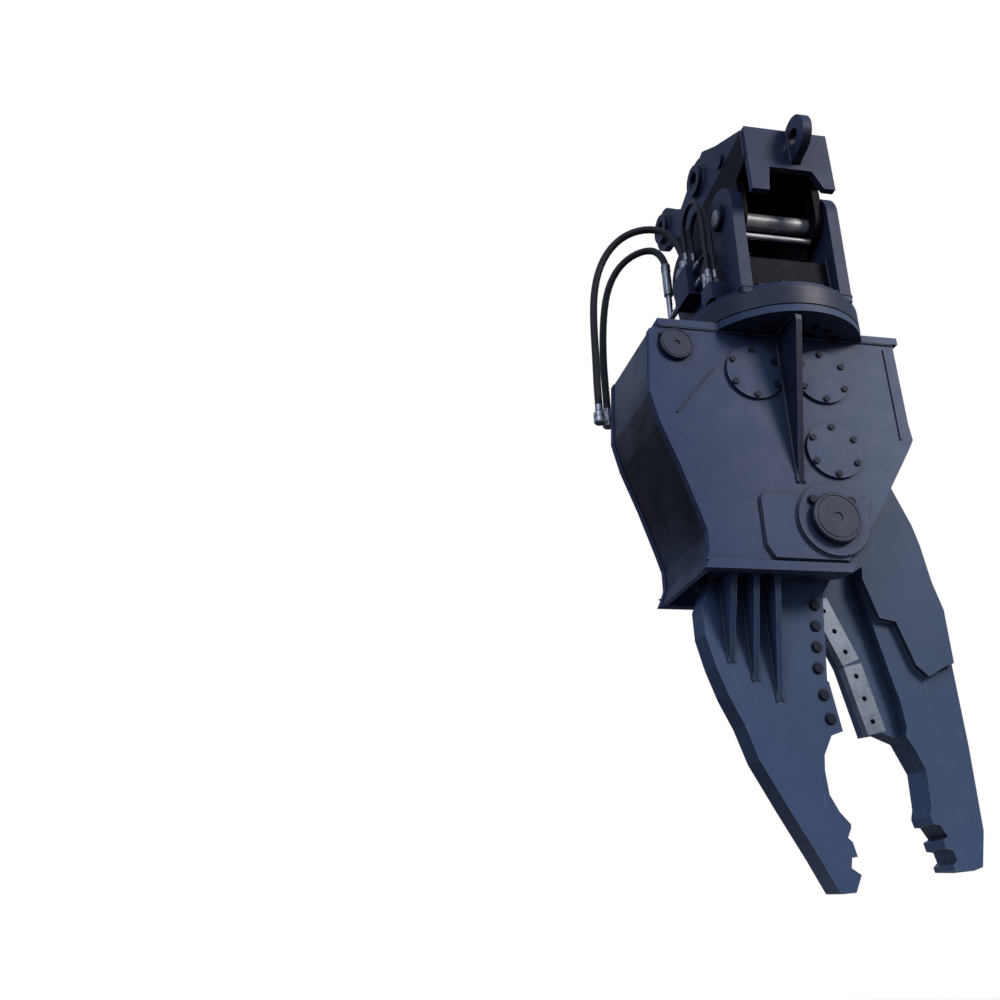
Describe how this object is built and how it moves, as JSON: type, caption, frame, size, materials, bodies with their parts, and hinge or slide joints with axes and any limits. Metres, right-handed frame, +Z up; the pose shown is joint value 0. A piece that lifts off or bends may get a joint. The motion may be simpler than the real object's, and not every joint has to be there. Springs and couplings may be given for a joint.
{
  "type": "car dismantling shear",
  "caption": "Excavator shear for taking cars apart: pin-on hanger, slewing ring, plate casing with a hydraulic cylinder, fixed jaw and moving jaw with bolted blades.",
  "frame": {"origin": "middle of the stick pin's bore, halfway between the hitch plates", "axes": "+X along the stick pin's bore, +Z up along the slewing axis, +Y from the front plate to the back plate"},
  "size_m": [1.2861, 1.144, 3.2522],
  "materials": {
    "blue_grey_paint": "satin",
    "dark_grey_paint": "satin",
    "turned_steel": "satin",
    "blade_steel": "satin",
    "dark_steel": "satin",
    "hard_chrome": "gloss",
    "plated_steel": "satin",
    "hose_rubber": "matt"
  },
  "bodies": {
    "hanger": {"hitch_plates": "dark_grey_paint", "hitch_hooks": "dark_grey_paint", "hitch_cross_plate": "dark_grey_paint", "hitch_floor": "dark_grey_paint", "lifting_eye": "dark_grey_paint", "cross_pins": "turned_steel", "cross_pin_collars": "turned_steel", "bracket_plates": "dark_grey_paint", "bracket_web": "dark_grey_paint", "stay_rod": "turned_steel", "base_plate": "dark_grey_paint", "slew_ring_outer": "dark_steel", "ring_bolts_upper": "dark_steel", "slew_motor": "dark_grey_paint", "swivel_housing": "dark_grey_paint", "valve_block": "dark_grey_paint", "valve_fittings": "plated_steel", "control_hoses": "hose_rubber", "supply_hoses": "hose_rubber", "hose_couplers": "plated_steel"},
    "casing": {"slew_ring_inner": "dark_steel", "slew_balls": "turned_steel", "ring_bolts_lower": "dark_steel", "swivel_spool": "dark_grey_paint", "top_plate": "blue_grey_paint", "front_plate": "blue_grey_paint", "back_plate": "blue_grey_paint", "left_side_plate": "blue_grey_paint", "right_side_plate": "blue_grey_paint", "nose_gusset": "blue_grey_paint", "inner_webs": "blue_grey_paint", "edge_bars": "blue_grey_paint", "inspection_covers": "blue_grey_paint", "cover_bolts": "dark_steel", "pivot_doublers": "blue_grey_paint", "pivot_rings": "blue_grey_paint", "pivot_cheeks": "blue_grey_paint", "main_pin": "turned_steel", "pin_caps": "dark_steel", "cylinder_pin": "turned_steel", "cylinder_pin_bosses": "blue_grey_paint", "fixed_jaw_back": "blue_grey_paint", "fixed_jaw_front": "blue_grey_paint", "fixed_jaw_doubler": "blue_grey_paint", "jaw_root": "blue_grey_paint", "fixed_blades": "blade_steel", "fixed_blade_bolts": "dark_steel"},
    "pinion": {"slew_pinion": "turned_steel"},
    "barrel": {"cylinder_barrel": "dark_grey_paint", "cylinder_gland": "dark_grey_paint", "barrel_pipe": "dark_grey_paint"},
    "rod": {"piston": "turned_steel", "piston_rod": "hard_chrome"},
    "moving_jaw": {"moving_jaw_plate": "blue_grey_paint", "moving_jaw_hub": "blue_grey_paint", "lever_cheeks": "blue_grey_paint", "rod_pin": "turned_steel", "jaw_ribs": "blue_grey_paint", "moving_blades": "blade_steel", "moving_blade_bolts": "dark_steel"}
  },
  "joints": [
    {"name": "slew", "type": "hinge", "parent": "hanger", "child": "casing", "pos_m": [0, -0.51, -0.985], "axis": [0, 0, 1], "continuous": true},
    {"name": "pinion_spin", "type": "hinge", "parent": "hanger", "child": "pinion", "pos_m": [0, -0.322, -0.948], "axis": [0, 0, 1], "continuous": true},
    {"name": "jaw_hinge", "type": "hinge", "parent": "casing", "child": "moving_jaw", "pos_m": [0.04601, -0.4675, -1.8296], "axis": [0, -1, 0], "range_deg": [-7, 16]},
    {"name": "barrel_swing", "type": "hinge", "parent": "casing", "child": "barrel", "pos_m": [-0.50404, -0.4675, -1.1], "axis": [0, -1, 0], "range_deg": [-0.5, 1]},
    {"name": "rod_slide", "type": "slide", "parent": "barrel", "child": "rod", "axis": [0.2089, 0, -0.9779], "range_m": [-0.05, 0.11]}
  ],
  "couplings": [
    {"joint": "pinion_spin", "follows": "slew", "ratio": 4.6154},
    {"joint": "barrel_swing", "follows": "jaw_hinge", "ratio": 0.04},
    {"joint": "rod_slide", "follows": "jaw_hinge", "m_per_rad": 0.382}
  ]
}
